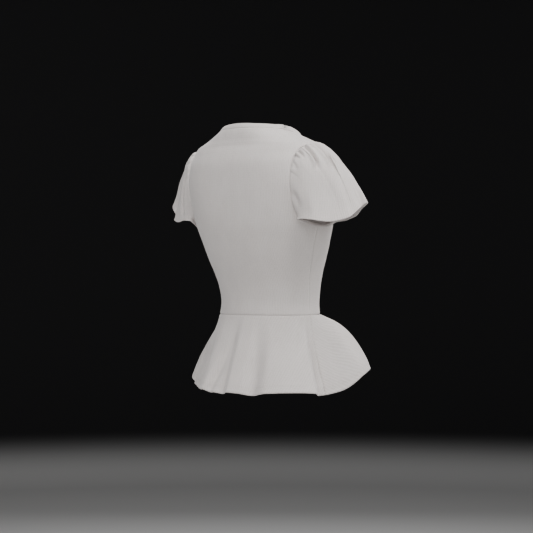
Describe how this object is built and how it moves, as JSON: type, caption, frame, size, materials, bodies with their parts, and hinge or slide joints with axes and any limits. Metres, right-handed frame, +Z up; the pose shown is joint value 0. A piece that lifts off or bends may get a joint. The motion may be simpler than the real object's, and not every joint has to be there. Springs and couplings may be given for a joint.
{
  "type": "short-sleeved peplum blouse",
  "caption": "Worn-shape fitted blouse with gathered flutter sleeves, round neckband, waist seam and flared fluted peplum",
  "frame": {"origin": "midway between the two neck points, where the shoulders of the wearer hold the blouse up", "axes": "+Z up, -Y out of the front, +X to the wearer's left"},
  "size_m": [0.4891, 0.3124, 0.5547],
  "materials": {
    "cloth": "matt crinkled stone-coloured stretch crepe"
  },
  "bodies": {
    "root": {"bodice_back": "cloth", "bodice_front": "cloth", "sleeve_left": "cloth", "sleeve_right": "cloth", "peplum_back": "cloth", "peplum_front": "cloth", "neckband": "cloth"}
  },
  "joints": []
}
